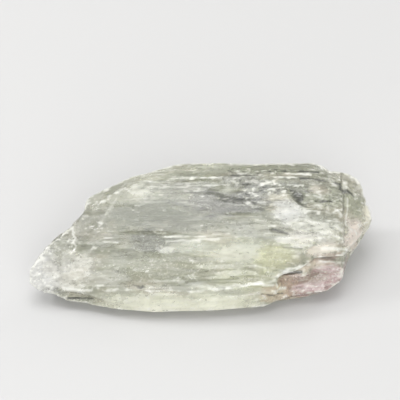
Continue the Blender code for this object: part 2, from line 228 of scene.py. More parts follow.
# The back, which the photo doesn't show.
# Painted light: the back is given a paler colour where the lamps leave it in shade.
BACK = ((0.0, 16.5, 8.0), (40.0, 5.5, 10.0))
BACK_MILKY = ((5.0, 16.0, 8.0), (11.0, 4.0, 4.0))
BACK_CLOUD = ((-17.0, 12.5, 9.0), (6.0, 4.0, 4.5))
BACK_HAIRS = ((10.0, 15.5, 13.0), (22.0, 3.0, 3.0))
BACK_FLECKS = ((24.0, 14.0, 7.0), (8.0, 4.0, 4.5))
BACK_GREY = ((-5.0, 15.5, 5.0), (8.0, 3.0, 3.5))

# Grooves, as (points along it, width, depth). They are cut in and get painted shade, darker the deeper they
# are.
CRACK = (((30.6, 9.6, 15.2), (31.0, 6.7, 14.6), (30.8, 3.4, 13.6), (30.4, 0.5, 13.0)), 0.25, 0.08)
RIGHT_SLOT = (((24.8, 3.9, 15.6), (28.2, 4.3, 15.3)), 0.3, 0.4)
LOBE_NOTCH = (((30.5, 7.9, 15.6), (31.7, 8.4, 14.8), (33.2, 8.9, 13.3)), 0.8, 0.35)
LOWER_LEFT_SLOT = (((-29.1, -12.9, 2.7), (-26.4, -13.1, 2.9), (-23.5, -13.5, 3.1)), 0.25, 0.3)
TIP_CREASE = (((-33.6, -6.2, 8.2), (-32.1, -7.3, 7.2), (-30.5, -8.7, 6.7), (-29.6, -10.0, 6.8),
               (-28.3, -8.8, 7.7)), 0.4, 0.06)
RIGHT_CREVICE = (((21.5, 8.8, 18.0), (23.9, 8.9, 18.0), (26.3, 8.8, 17.5), (28.7, 9.6, 16.1),
                  (30.6, 10.1, 15.1)), 0.55, 0.25)
STRIP_FOOT = (((16.5, 11.5, 17.7), (21.5, 11.7, 17.5), (25.5, 12.0, 17.0)), 0.35, 0.2)
PINK_LEDGE = (((16.7, -11.0, 8.2), (18.9, -10.0, 7.5), (21.1, -9.7, 7.5)), 0.4, 0.25)
PINK_SHADOW = (((23.4, -7.6, 9.8), (26.3, -6.9, 8.8), (28.6, -6.5, 8.2)), 0.3, 0.15)
SECOND_PINK_LEDGE = (((25.2, -7.7, 7.6), (27.4, -7.5, 7.4)), 0.25, 0.12)
CLOUD_FOOT = (((14.8, -3.6, 14.3), (16.3, -4.1, 14.2), (18.4, -4.7, 14.1)), 0.35, 0.2)
SLATE_FACE = (((19.4, 5.7, 16.9), (20.6, 5.1, 16.1), (21.6, 3.2, 15.3)), 0.7, 0.15)
LENS_FOOT = (((17.3, -7.4, 12.6), (21.2, -7.6, 12.4)), 0.25, 0.12)
LOW_SLOT = (((12.6, -14.2, 5.2), (17.3, -12.4, 3.5)), 0.2, 0.2)
LEFT_PITS = (((-14.9, -13.4, 7.2), (-12.1, -14.0, 7.2)), 0.3, 0.15)
GROOVES = (CRACK, RIGHT_SLOT, LOBE_NOTCH, LOWER_LEFT_SLOT, TIP_CREASE, RIGHT_CREVICE, STRIP_FOOT, PINK_LEDGE,
           PINK_SHADOW, SECOND_PINK_LEDGE, CLOUD_FOOT, SLATE_FACE, LENS_FOOT, LOW_SLOT, LEFT_PITS)

# Edges and healed cracks that show as white lines, as (points along it, width, strength). On the rims and
# ledge edges the white is partly a painted highlight.
BEVEL_EDGE = (((-16.5, 10.9, 15.7), (-17.9, 6.8, 15.8), (-19.3, 4.2, 15.1), (-21.0, 1.6, 14.0),
               (-22.2, -0.9, 13.1)), 0.35, 0.35)
OUTER_BEVEL_EDGE = (((-20.5, 10.0, 14.6), (-23.9, 4.0, 13.6)), 0.4, 0.15)
LEFT_ZIGZAG = (((-28.1, -1.2, 11.9), (-28.3, -1.8, 11.5), (-27.6, -3.0, 11.2), (-27.9, -4.2, 10.7),
                (-27.2, -4.9, 10.5), (-27.9, -5.9, 10.0)), 0.22, 0.8)
LEFT_DASHES = (((-21.3, -4.1, 12.2), (-18.3, -4.0, 12.1)), 0.16, 0.8)
LOWER_DASHES = (((-21.2, -5.0, 11.9), (-18.2, -5.3, 12.0)), 0.16, 0.6)
LONG_STREAK = (((-8.3, -4.2, 12.6), (-2.7, -4.6, 13.1), (0.5, -4.8, 13.2)), 0.18, 0.9)
SECOND_STREAK = (((-7.9, -5.1, 12.2), (-0.6, -5.7, 12.8)), 0.2, 0.8)
LOW_LEFT_STREAK = (((-30.0, -12.2, 4.8), (-26.7, -12.9, 5.2), (-23.9, -13.5, 5.6)), 0.35, 0.8)
CRACK_EDGE = (((31.8, 6.7, 14.0), (31.5, 3.4, 12.9), (31.1, -0.5, 12.3)), 0.22, 0.7)
# Painted highlight on a ledge edge, partly also a chipped white edge.
STRIP_LEDGE = (((18.5, 10.7, 17.6), (21.4, 10.7, 17.5), (23.8, 10.6, 17.3)), 0.25, 1.0)
ARC_EDGE = (((12.9, 7.1, 17.5), (15.8, 8.3, 17.9), (19.2, 10.0, 17.6)), 0.3, 0.5)
WEDGE = (((28.2, 1.4, 14.5), (29.3, 2.2, 14.5), (30.4, 3.2, 13.8)), 0.3, 1.0)
# Painted highlight on the pink ledge's edge, partly also a chipped white edge.
PINK_LEDGE_EDGE = (((18.1, -11.1, 9.7), (20.7, -10.6, 9.8), (23.3, -8.8, 8.6)), 0.3, 0.8)
SECOND_PINK_EDGE = (((25.2, -7.3, 8.4), (27.9, -7.0, 7.9), (31.0, -5.4, 5.8)), 0.3, 0.7)
PINK_BAND_EDGE = (((25.6, -6.5, 11.3), (28.2, -6.0, 10.9), (31.2, -4.8, 9.4)), 0.4, 0.8)
RIGHT_LOW_STREAK = (((11.1, -13.6, 7.7), (14.9, -13.2, 7.0)), 0.3, 0.8)
RECESS_EDGE = (((14.8, -13.5, 5.5), (17.7, -11.9, 4.8)), 0.35, 0.8)
TIP_BUMP = (((-36.6, -7.4, 7.0), (-35.6, -6.7, 7.8), (-34.5, -6.5, 8.2)), 0.5, 0.9)
# Painted highlights along the top rim and the lobe's rim, partly also chipped white edges.
TOP_RIM_HIGHLIGHT = (((-20.9, 9.4, 14.4), (-15.6, 12.0, 15.0), (-10.6, 13.6, 16.0), (-5.6, 15.1, 16.6),
            (0.4, 15.2, 16.9), (10.4, 14.7, 17.0), (24.4, 14.9, 17.1), (27.0, 14.7, 16.2),
            (28.4, 13.7, 15.5)), 0.6, 0.7)
LOBE_RIM_HIGHLIGHT = (((32.4, 14.0, 14.5), (34.2, 13.6, 13.8), (36.0, 11.1, 12.1), (36.6, 9.2, 11.0),
             (37.4, 6.1, 8.8)), 0.6, 0.8)
EDGES = (BEVEL_EDGE, OUTER_BEVEL_EDGE, LEFT_ZIGZAG, LEFT_DASHES, LOWER_DASHES, LONG_STREAK, SECOND_STREAK,
         LOW_LEFT_STREAK, CRACK_EDGE, STRIP_LEDGE, ARC_EDGE, WEDGE, PINK_LEDGE_EDGE, SECOND_PINK_EDGE,
         PINK_BAND_EDGE, RIGHT_LOW_STREAK, RECESS_EDGE, TIP_BUMP, TOP_RIM_HIGHLIGHT, LOBE_RIM_HIGHLIGHT)
LINE_REACH = 1.5  # how far off the surface a line may lie

# What the places are like, as (place, strength). A milky place is cloudy white, and a clear one less hazy.
MILKY_PLACES = (
    (TIP, 1.0), (TIP_SHOULDER, 0.85), (LOWER_LEFT, 0.65), (SLANTED_EDGE, 0.35), (LEFT_BEVEL, 0.3),
    (OUTER_BEVEL, 0.45), (UPPER_LEFT_RIM, 0.5), (UPPER_LEFT_CLOUD, 0.6), (STREAK_BAND, 0.3),
    (WHITE_BLOB, 0.75), (MILKY_LEFT, 0.6), (MILKY_MIDDLE, 0.85), (WHITE_SPOT, 0.8), (ARC, 0.5),
    (CLOUD, 0.9), (LENS, 0.9), (TOP_LIGHT, 0.6), (RIGHT_FLECKS, 0.75), (RIGHT_BRIGHT, 0.9),
    (LOWER_BAND, 0.95), (CREST_FLECKS, 0.4), (LOBE_PINK, 1.0), (LOBE_END, 0.9), (PINK_TIP, 0.6),
    (PINK_BEIGE, 0.5), (PINK_CORNER, 0.5), (YELLOW_GREEN, 0.5), (SMALL_PITS, 0.5), (LOW_PITS, 0.5),
    (LOW_BEIGE, 0.6), (PINK_LIT_EDGE, 0.85), (LOW_LIGHT, 0.6), (BACK_MILKY, 0.8), (BACK_CLOUD, 0.9),
    (BACK_FLECKS, 0.5),
)
CLEAR_PLACES = (
    (SMOOTH_GREY, 0.2), (TOP_STRIP, 0.3), (LEFT_FACET, 0.7), (SLATE, 0.8), (GREEN_LATHS, 0.4),
    (BACK_GREY, 0.5), (LOBE_GREEN, 0.5), (DARK_LEFT, 0.5),
)
# A quiet place has few stray hairs and faint painted light and shade on its ridges. The next five kinds have
# small white or dark features.
QUIET_PLACES = (
    (ORANGE_PEEL, 0.85), (MILKY_MIDDLE, 0.9), (MILKY_LEFT, 0.8), (TIP, 0.9), (LEFT_FACET, 0.9),
    (LOWER_BAND, 0.5), (LEFT_BEVEL, 0.8), (CLOUD, 0.8),
)
HAIRY_PLACES = (
    (UPPER_HAIRS, 0.6), (SMOOTH_GREY, 0.2), (GREY_PATCH, 0.4), (BACK_HAIRS, 0.8), (STREAK_BAND, 0.9),
    (GREEN_LATHS, 0.8), (BEIGE_LATH, 0.5), (TOP_STRIP, 0.4), (PINK_CORNER, 0.5), (UPPER_LEFT_RIM, 0.6),
)
FLECKED_PLACES = (
    (SHARDS, 1.0), (TOP_LIGHT, 0.6), (CREST_PATCH, 0.8), (DARK_MOTTLES, 0.8), (CREST_GREY, 0.5),
    (CREST_FLECKS, 1.0), (ARC, 1.0), (SMALL_PITS, 0.7), (BACK_FLECKS, 0.8), (BACK_CLOUD, 0.4),
    (LOW_PITS, 0.5), (ORANGE_PEEL, 0.3), (RIGHT_FLECKS, 0.7), (DARK_LEFT, 0.4), (SHATTERED, 0.4),
    (GREY_PATCH, 0.35), (TIP_SHOULDER, 0.5), (UPPER_LEFT_CLOUD, 0.6), (WHITE_BLOB, 0.5), (STRIP_SHADE, 1.0),
    (LOBE_PINK, 0.5), (LOBE_TOP, 0.5), (CLOUD, 0.4),
)
SPLINTERED_PLACES = (
    (GREEN_LATHS, 0.6), (BACK_FLECKS, 0.4), (BACK_GREY, 0.5), (RIGHT_FLECKS, 0.7), (RIGHT_BRIGHT, 0.6),
    (SHATTERED, 0.6), (SLATE, 0.8), (BEIGE_LATH, 0.4), (GREY_PATCH, 0.3), (UPPER_HAIRS, 0.4),
    (LOWER_LEFT, 0.6), (LOWER_BAND, 0.3),
)
GRITTY_PLACES = (
    (ORANGE_PEEL, 0.6), (DARK_LEFT, 0.9), (TIP, 0.6), (YELLOW_GREEN, 0.6), (LOWER_BAND, 0.4),
    (PINK_CORNER, 0.5), (LOBE_PINK, 0.6), (TIP_SHOULDER, 0.6), (GREY_PATCH, 0.25),
)
SPARKLING_PLACES = (
    (SLANTED_EDGE, 1.0), (TIP_SHOULDER, 0.6), (DOTS, 1.0), (PINK_CORNER, 0.7), (LOBE_PINK, 0.6), (TIP, 0.8),
    (ORANGE_PEEL, 0.5), (LOWER_BAND, 0.4),
)
# A rough place is broken and coarse, and a calm one has low, even laths.
ROUGH_PLACES = (
    (TIP, 0.5), (SLANTED_EDGE, 0.6), (CREST_PATCH, 1.0), (DARK_MOTTLES, 0.8), (CREST_FLECKS, 1.0),
    (ARC, 0.9), (CLOUD, 0.8), (SMALL_PITS, 1.0), (LOW_PITS, 0.8), (ORANGE_PEEL, 0.35), (RIGHT_FLECKS, 0.8),
)
CALM_PLACES = (
    (BEIGE_LATH, 0.8), (SMOOTH_GREY, 0.9), (TOP_STRIP, 0.8), (LEFT_FACET, 0.9), (PINK_BEIGE, 0.5),
    (MILKY_MIDDLE, 0.6), (LEFT_BEVEL, 0.5),
)

# The tints of the places, as (place, strength, colour). A later one lies over an earlier one.
TINTS = (
    # Painted light: a paler colour on the back, which the lamps leave in shade.
    (BACK, 0.8, (240, 242, 228)),
    (BACK_GREY, 0.6, (172, 176, 162)),
    (BACK_MILKY, 0.6, (244, 245, 232)),
    (BACK_CLOUD, 0.6, (242, 242, 236)),
    (TIP, 0.85, (208, 208, 208)),
    (TIP_SHOULDER, 0.6, (218, 216, 207)),
    (SLANTED_EDGE, 0.6, (184, 185, 174)),
    (LOWER_LEFT, 0.5, (218, 217, 206)),
    (LEFT_BEVEL, 0.7, (192, 193, 176)),
    # Pale edge, partly painted light on a facet that lies in shade.
    (OUTER_BEVEL, 0.8, (246, 246, 232)),
    # Milky colour, lightened as painted light on a band that the lamps leave darker.
    (UPPER_LEFT_RIM, 0.7, (226, 227, 211)),
    (LEFT_FACET, 0.7, (214, 215, 200)),
    (UPPER_GREY, 0.8, (142, 144, 135)),
    # Partly the crystal's grey-green, partly painted darkness of ground seen through it.
    (SMOOTH_GREY, 0.85, (150, 154, 141)),
    (MIDDLE_GREY, 0.7, (150, 153, 140)),
    (DARK_LEFT, 0.8, (116, 120, 108)),
    (GREY_PATCH, 0.85, (116, 117, 119)),
    (WHITE_BLOB, 0.6, (240, 240, 232)),
    (MILKY_LEFT, 0.7, (224, 227, 214)),
    (MILKY_MIDDLE, 0.7, (222, 225, 208)),
    (CREST_PATCH, 0.8, (152, 153, 149)),
    (SHARDS, 0.8, (112, 114, 108)),
    (DARK_MOTTLES, 0.8, (118, 119, 120)),
    (CREST_GREY, 0.75, (128, 130, 128)),
    (CLOUD, 0.8, (226, 227, 226)),
    (SLATE, 0.8, (118, 119, 120)),
    (GREEN_LATHS, 0.7, (220, 224, 204)),
    (UPPER_RIGHT_GREY, 0.7, (150, 153, 142)),
    (BEIGE_LATH, 0.9, (222, 215, 200)),
    (TOP_STRIP, 0.8, (180, 183, 164)),
    (TOP_LIGHT, 0.4, (222, 224, 206)),
    (STRIP_SHADE, 0.8, (158, 162, 143)),
    (LOBE_GREEN, 0.8, (234, 238, 214)),
    (LOBE_TOP, 0.7, (224, 221, 205)),
    (YELLOW_GREEN, 0.8, (226, 227, 188)),
    (YELLOW_LEFT, 0.6, (225, 228, 190)),
    (ORANGE_PEEL, 0.7, (180, 183, 160)),
    (SMALL_PITS, 0.6, (244, 244, 228)),
    # Painted light: whitened for light passing through the crystal and against the shade by the floor; the
    # lower band is also milky.
    (LOWER_BAND, 0.95, (240, 241, 219)),
    (BOTTOM_EDGE_GLOW, 0.9, (255, 255, 236)),
    (LOW_LIGHT, 0.5, (244, 245, 228)),
    (LEFT_LOW_LIGHT, 0.6, (236, 236, 226)),
    (LOBE_PINK, 0.9, (255, 240, 230)),
    (LOBE_END, 0.9, (250, 246, 228)),
    (RIGHT_FLECKS, 0.6, (238, 239, 230)),
    (RIGHT_BRIGHT, 0.8, (246, 244, 236)),
    (RIGHT_GREY, 0.6, (170, 174, 160)),
    (SHADE, 0.6, (128, 132, 120)),
    (LENS, 0.7, (244, 244, 238)),
    (PINK_BEIGE, 0.9, (186, 155, 136)),
    (PINK_CORNER, 0.95, (193, 154, 158)),
    # Painted shade under the pink ledge.
    (PINK_UNDER_LEDGE_SHADE, 0.8, (164, 140, 128)),
    (LOW_BEIGE, 0.8, (224, 209, 183)),
    (PINK_TIP, 0.8, (230, 200, 203)),
    # Lit and shaded copies of the pink: painted light on the ledges and painted shade on the steep band.
    (PINK_LIT_BAND, 0.85, (250, 232, 214)),
    (PINK_LIT_EDGE, 0.85, (250, 240, 226)),
    (PINK_BAND, 0.8, (196, 170, 158)),
)

TINT_EDGE = (0.55, 1.15)  # where a tint's edge starts and ends, as shares of the place's half size
TINT_WOBBLE = 0.5  # of that edge, as a share of the half size

# Layers of colour, as (value, start, end, strength, colour, weight). A layer grows to its strength as the
# value goes from start to end. The value and the weight are patterns, or numbers kept on the mesh.
BODY_COLOUR = (172, 175, 156)
LAYERS_UNDER_TINTS = (
    ("tone", 0.38, 0.62, 1.0, (200, 202, 184), None),
    ("milk", 0.0, 1.0, 0.85, (240, 240, 228), None),
    ("drift", 0.45, 0.65, 0.5, (224, 214, 194), None),
    ("drift", 0.5, 0.35, 0.3, (204, 206, 204), None),
)
LAYERS_OVER_TINTS = (
    ("hairlines", 0.54, 0.68, 0.5, (244, 245, 228), "hairy"),
    ("hairlines", 0.46, 0.32, 0.45, (134, 137, 126), "hairy"),
    ("lath", 0.1, 1.0, 0.25, (238, 239, 228), None),
    ("lath", -0.1, -1.0, 0.2, (146, 149, 138), None),
    ("grain", 0.53, 0.68, 0.6, (244, 244, 232), "grainy"),
    ("grain", 0.47, 0.32, 0.5, (140, 142, 128), "grainy"),
    # White and dark small features; painted highlights on edges and ridges and painted shade in grooves are
    # among them.
    ("feature", 0.05, 0.9, 0.9, (255, 255, 248), None),
    ("feature", -0.05, -0.9, 0.85, (54, 56, 52), None),
)
STORED = ("feature", "milk", "lath", "grainy", "hairy")

# Noise patterns of the material, as (scale along the crystal, shift, overall scale, detail, roughness).
PATTERNS = {
    "wobble": (0.4, (0.0, 0.0, 0.0), 0.45, 8.0, 0.65),
    "tone": (0.6, (7.0, 2.0, 5.0), 0.14, 5.0, 0.6),
    "drift": (0.5, (3.0, 9.0, 2.0), 0.2, 3.0, 0.5),
    "hairlines": (0.025, (1.0, 7.0, 4.0), 3.4, 2.0, 0.6),
    "grain": (0.8, (4.0, 1.0, 3.0), 2.6, 4.0, 0.65),
    "striations": (0.03, (2.0, 5.0, 1.0), 4.0, 4.0, 0.6),
}


# ---------------------------------------------------------------- places and noise

def fractal(points, size, stretch, octaves, shift):
    """Fractal noise from about -1 to 1, with bumps of the given size, drawn out along the crystal.

    Each use has a shift of its own, so that no two have the same pattern.
    """
    scaled = points / (np.array([stretch, 1.0, 1.0]) * size) + shift
    return np.array([noise.fractal(Vector(p), 1.0, 2.0, octaves) for p in scaled])


def smooth_step(start, end, values):
    """0 before the start and 1 past the end, with a smooth change between. The end may be the lower one."""
    t = np.clip((values - start) / (end - start), 0, 1)
    return t * t * (3 - 2 * t)


def distance_from(points, place):
    """How far each point is from a place's centre, as a share of its half size."""
    centre, half = (np.array(v) for v in place)
    return np.linalg.norm((points - centre) / half, axis=1)


def inside(points, place, warp):
    """1 well inside a place and 0 outside it, with a ragged edge."""
    return 1 - smooth_step(*PLACE_EDGE, distance_from(points, place) + warp)


def near(points, place, warp):
    """1 in the middle of a place, falling softly to almost 0 at twice its size."""
    return np.exp(-np.maximum(distance_from(points, place) + warp, 0) ** 2)


def strongest(points, places, warp, measure=inside):
    """The highest strength of the places at each point."""
    result = np.zeros(len(points))
    for place, strength in places:
        result = np.maximum(result, strength * measure(points, place, warp))
    return result


def near_line(points, normals, line, width, warp):
    """1 on a line drawn on the surface through the given points, falling to 0 about twice its width away."""
    nearest = np.full(len(points), np.inf)
    for start, end in zip(line[:-1], line[1:]):
        start = np.array(start)
        span = np.array(end) - start
        along = np.clip((points - start) @ span / (span @ span), 0, 1)
        offset = points - start - along[:, None] * span
        off_surface = (offset * normals).sum(axis=1)
        distance = np.linalg.norm(offset - off_surface[:, None] * normals, axis=1)
        nearest = np.minimum(nearest, np.where(np.abs(off_surface) < LINE_REACH, distance, np.inf))
    return np.exp(-(np.maximum(nearest + width * warp, 0) / width) ** 2)


# ---------------------------------------------------------------- the fine surface

def laths(points, width, thickness, length, rng):
    """The small columns of the crystal: a random level from -1 to 1 for each one, with soft ends."""
    cos_tilt = math.cos(BROAD_FACE_TILT)
    sin_tilt = math.sin(BROAD_FACE_TILT)
    wander = LATH_WANDER * fractal(points, size=2.2, stretch=5.0, octaves=3, shift=5.0)
    across = (points[:, 1] * cos_tilt + points[:, 2] * sin_tilt + wander) / width
    through = (points[:, 2] * cos_tilt - points[:, 1] * sin_tilt) / thickness
    column = np.floor(across).astype(int)
    layer = np.floor(through + 0.5 * (column % 2)).astype(int)
    scatter, by_column, by_layer = LATH_SCATTER
    along = points[:, 0] / length + scatter * np.sin(column * by_column + layer * by_layer)
    number = np.floor(along).astype(int)
    fade = smooth_step(LATH_FADE, 1.0, along - number)
    columns, layers, numbers = LATH_NUMBERS
    levels = rng.uniform(-1, 1, LATH_NUMBERS)
    this = levels[column % columns, layer % layers, number % numbers]
    following = levels[column % columns, layer % layers, (number + 1) % numbers]
    return this * (1 - fade) + following * fade


def relief(points, normals, warp, rng):
    """How far the fine surface stands out from the solid, in millimetres."""
    broken_end = BROKEN_END_ROUGHNESS * smooth_step(*BROKEN_END, points[:, 0])
    rough = np.maximum(strongest(points, ROUGH_PLACES, warp), broken_end)
    calm = strongest(points, CALM_PLACES, warp)
    shattered = inside(points, SHATTERED, warp)
    uneven = (UNEVENNESS + SHATTERED_UNEVENNESS * shattered) * (1 - CALMING * calm)

    height = np.zeros(len(points))
    for lath_height, width, thickness, length in LATH_RELIEF:
        height += lath_height * uneven * laths(points, width, thickness, length, rng)
    height += STRIATION_HEIGHT * fractal(points, size=0.4, stretch=30.0, octaves=3, shift=21.0)
    lumps = fractal(points, size=0.8, stretch=1.8, octaves=3, shift=31.0)
    height += rough * (ROUGH_HEIGHT * lumps - ROUGH_DEPTH)
    height += FINE_ROUGH_HEIGHT * rough * fractal(points, size=0.4, stretch=1.2, octaves=2, shift=41.0)
    for line, width, depth in GROOVES:
        height -= depth * near_line(points, normals, line, width, warp)
    return height


def milkiness(points, warp):
    """How cloudy the crystal is, from 0 where it is clear to 1 where it is frosted white."""
    milk = strongest(points, MILKY_PLACES, warp, near)
    streaks = 0.4 * fractal(points, size=1.6, stretch=3.5, octaves=3, shift=61.0)
    streaks += 0.7 * fractal(points, size=0.5, stretch=2.5, octaves=3, shift=81.0)
    return smooth_step(0.0, 1.1, milk * (1 + MILK_STREAKS * streaks) + BODY_STREAKS * streaks)


def small_features(points, normals, ridge, edge, milk, warp):
    """The small features of the surface: from -1 for a dark one to 1 for a white one. They include painted
    highlights on edges and ridges and painted shade in grooves.
    """
    quiet = strongest(points, QUIET_PLACES, warp)
    flecked = strongest(points, FLECKED_PLACES, warp)
    splintered = strongest(points, SPLINTERED_PLACES, warp)
    gritty = strongest(points, GRITTY_PLACES, warp)
    sparkling = strongest(points, SPARKLING_PLACES, warp)
    stray_hairs = smooth_step(-0.1, 0.3, fractal(points, size=3.0, stretch=3.0, octaves=3, shift=55.0))
    hairy = np.maximum(strongest(points, HAIRY_PLACES, warp), STRAY_HAIRS * stray_hairs * (1 - quiet))
    # Painted highlight on small ridges and painted shade in small grooves.
    ridge_light_and_shade = RIDGE_LIGHT_AND_SHADE * (1 + inside(points, SHATTERED, warp)) * (1 - QUIETING * quiet)

    flecks = fractal(points, size=0.8, stretch=1.9, octaves=4, shift=91.0)
    veins = smooth_step(0.1, 0.0, np.abs(fractal(points, size=1.3, stretch=2.2, octaves=3, shift=93.0)))
    splinters = fractal(points, size=0.75, stretch=3.2, octaves=4, shift=95.0)
    hairs = fractal(points, size=0.3, stretch=120.0, octaves=1, shift=51.0)
    hairs += 0.4 * fractal(points, size=1.0, stretch=30.0, octaves=2, shift=53.0)
    sparkles = fractal(points, size=0.38, stretch=1.0, octaves=1, shift=97.0)
    grit = fractal(points, size=0.3, stretch=1.6, octaves=2, shift=99.0)

    # Each kind grows to its own strength as its pattern goes from the first number to the second.
    light = np.max((
        0.75 * flecked * np.maximum(smooth_step(0.12, 0.34, flecks), 0.4 * veins),
        splintered * smooth_step(0.16, 0.34, splinters),
        ridge_light_and_shade * smooth_step(0.4, 1.2, ridge),
        0.7 * hairy * smooth_step(0.12, 0.3, hairs),
        0.6 * gritty * smooth_step(0.15, 0.4, grit),
        sparkling * smooth_step(0.35, 0.46, sparkles),
        # Painted highlight along the crystal's own edges, partly also chipped white edges.
        0.75 * smooth_step(0.3, 1.0, edge + 0.8 * flecks),
    ), axis=0)
    dark = np.max((
        flecked * smooth_step(0.14, 0.36, -flecks) * (1 - veins),
        splintered * smooth_step(0.2, 0.38, -splinters),
        ridge_light_and_shade * smooth_step(0.4, 1.2, -ridge),
        0.6 * hairy * smooth_step(0.14, 0.32, -hairs),
        0.5 * gritty * smooth_step(0.2, 0.45, -grit),
    ), axis=0)

    feature = light - dark * (1 - MILK_VEIL * milk)
    for line, width, strength in EDGES:
        mark = strength * near_line(points, normals, line, width, warp - 0.5 * flecks)
        feature += mark * (1 - feature)
    # Painted shade in the grooves, darker the deeper they are.
    for line, width, depth in GROOVES:
        strength = min(GROOVE_SHADE * depth, 1)
        mark = strength * near_line(points, normals, line, width, warp + 0.5 * flecks)
        feature -= mark * (1 + feature)
    return np.clip(feature, -1, 1)


def haziness(points, milk, feature, warp):
    """How hazy the crystal is just under its surface: 0 takes the clearest material, and 1 the cloudiest."""
    haze = milk * (1 - BODY_HAZE) + BODY_HAZE * (1 - strongest(points, CLEAR_PLACES, warp, near))
    mottles = fractal(points, size=0.4, stretch=3.0, octaves=3, shift=71.0)
    haze += FEATURE_HAZE * np.abs(feature) * (1 - milk) + HAZE_MOTTLES * mottles
    return haze


def neighbour_means(values, edges):
    """For each vertex, the mean of its neighbours' values."""
    ends = np.concatenate((edges[:, 0], edges[:, 1]))
    others = np.concatenate((edges[:, 1], edges[:, 0]))
    count = np.bincount(ends, minlength=len(values))
    totals = [np.bincount(ends, weights=column[others], minlength=len(values)) for column in values.T]
    return np.stack(totals, axis=1) / count[:, None]


def standing_out(points, normals, edges, rounds):
    """How far each vertex stands out from the surface as smoothed in that many rounds, in millimetres."""
    smoothed = points
    for _ in range(rounds):
        smoothed = neighbour_means(smoothed, edges)
    return ((points - smoothed) * normals).sum(axis=1)


def read(items, name, width, kind=float):
    """One field of all the items of a mesh, as rows."""
    values = np.empty(len(items) * width, kind)
    items.foreach_get(name, values)
    return values.reshape(-1, width)


def store(mesh, name, values):
    """Keep one number for each vertex, for the materials to read."""
    mesh.attributes.new(name, "FLOAT", "POINT").data.foreach_set("value", values)


def remeshed(cad):
    """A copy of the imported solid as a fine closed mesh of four-sided faces."""
    mesh = cad.data.copy()
    bm = bmesh.new()
    bm.from_mesh(mesh)
    bmesh.ops.remove_doubles(bm, verts=bm.verts, dist=DOUBLES_DISTANCE)
    bm.to_mesh(mesh)
    bm.free()
    mesh.materials.clear()
    crystal = bpy.data.objects.new("kunzite_crystal", mesh)
    bpy.context.scene.collection.objects.link(crystal)
    remesh = crystal.modifiers.new("fine", "REMESH")
    remesh.mode = "VOXEL"
    remesh.voxel_size = VOXEL * MM
    smoothing = crystal.modifiers.new("soft", "SMOOTH")
    smoothing.iterations = SMOOTHING_ROUNDS
    evaluated = crystal.evaluated_get(bpy.context.evaluated_depsgraph_get())
    fine = bpy.data.meshes.new_from_object(evaluated)
    crystal.modifiers.clear()
    crystal.data = fine
    return crystal


def give_materials(fine, haze):
    """Give each face of the fine mesh the material for its haze."""
    for level in range(HAZE_LEVELS):
        share = level / (HAZE_LEVELS - 1)
        fine.materials.append(kunzite(CLEAREST + share * (CLOUDIEST - CLEAREST)))
    face_haze = haze[read(fine.polygons, "vertices", 4, int)].mean(axis=1)
    face_level = np.rint(np.clip(face_haze, 0, 1) * (HAZE_LEVELS - 1)).astype(int)
    fine.polygons.foreach_set("material_index", face_level)


def fine_crystal(cad):
    """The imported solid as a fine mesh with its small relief, its resting face left flat."""
    crystal = remeshed(cad)
    fine = crystal.data
    points = read(fine.vertices, "co", 3) / MM
    normals = read(fine.vertex_normals, "vector", 3)
    edges = read(fine.edges, "vertices", 2, int)
    rng = np.random.default_rng(SEED)
    warp = RAGGEDNESS * fractal(points, size=1.8, stretch=2.0, octaves=4, shift=11.0)

    height = relief(points, normals, warp, rng) * smooth_step(FLAT_LEVEL, RELIEF_LEVEL, points[:, 2])
    carved = points + normals * height[:, None]
    carved[:, 2] = np.maximum(carved[:, 2], 0)
    fine.vertices.foreach_set("co", (carved * MM).ravel())
    fine.shade_smooth()
    fine.update()

    ridge = standing_out(carved, normals, edges, RIDGE_ROUNDS) / RIDGE_HEIGHT
    edge = standing_out(carved, normals, edges, EDGE_ROUNDS) / EDGE_HEIGHT
    milk = milkiness(points, warp)
    feature = small_features(points, normals, ridge, edge, milk, warp)
    uneven = 1 - CALMING * strongest(points, CALM_PLACES, warp)
    grainy = strongest(points, GRITTY_PLACES + FLECKED_PLACES, warp)
    hairy = strongest(points, HAIRY_PLACES, warp)
    store(fine, "feature", feature)
    store(fine, "milk", milk)
    store(fine, "lath", uneven * laths(points, *LATH_TONES, rng))
    store(fine, "grainy", uneven * (PLAIN_SHARE + (1 - PLAIN_SHARE) * grainy))
    store(fine, "hairy", PLAIN_SHARE + (1 - PLAIN_SHARE) * hairy)
    give_materials(fine, haziness(points, milk, feature, warp))
    return crystal


# ---------------------------------------------------------------- the material

def linear(levels):
    """An 8-bit display colour as linear RGB."""
    values = np.array(levels) / 255
    return tuple(np.where(values <= 0.04045, values / 12.92, ((values + 0.055) / 1.055) ** 2.4))


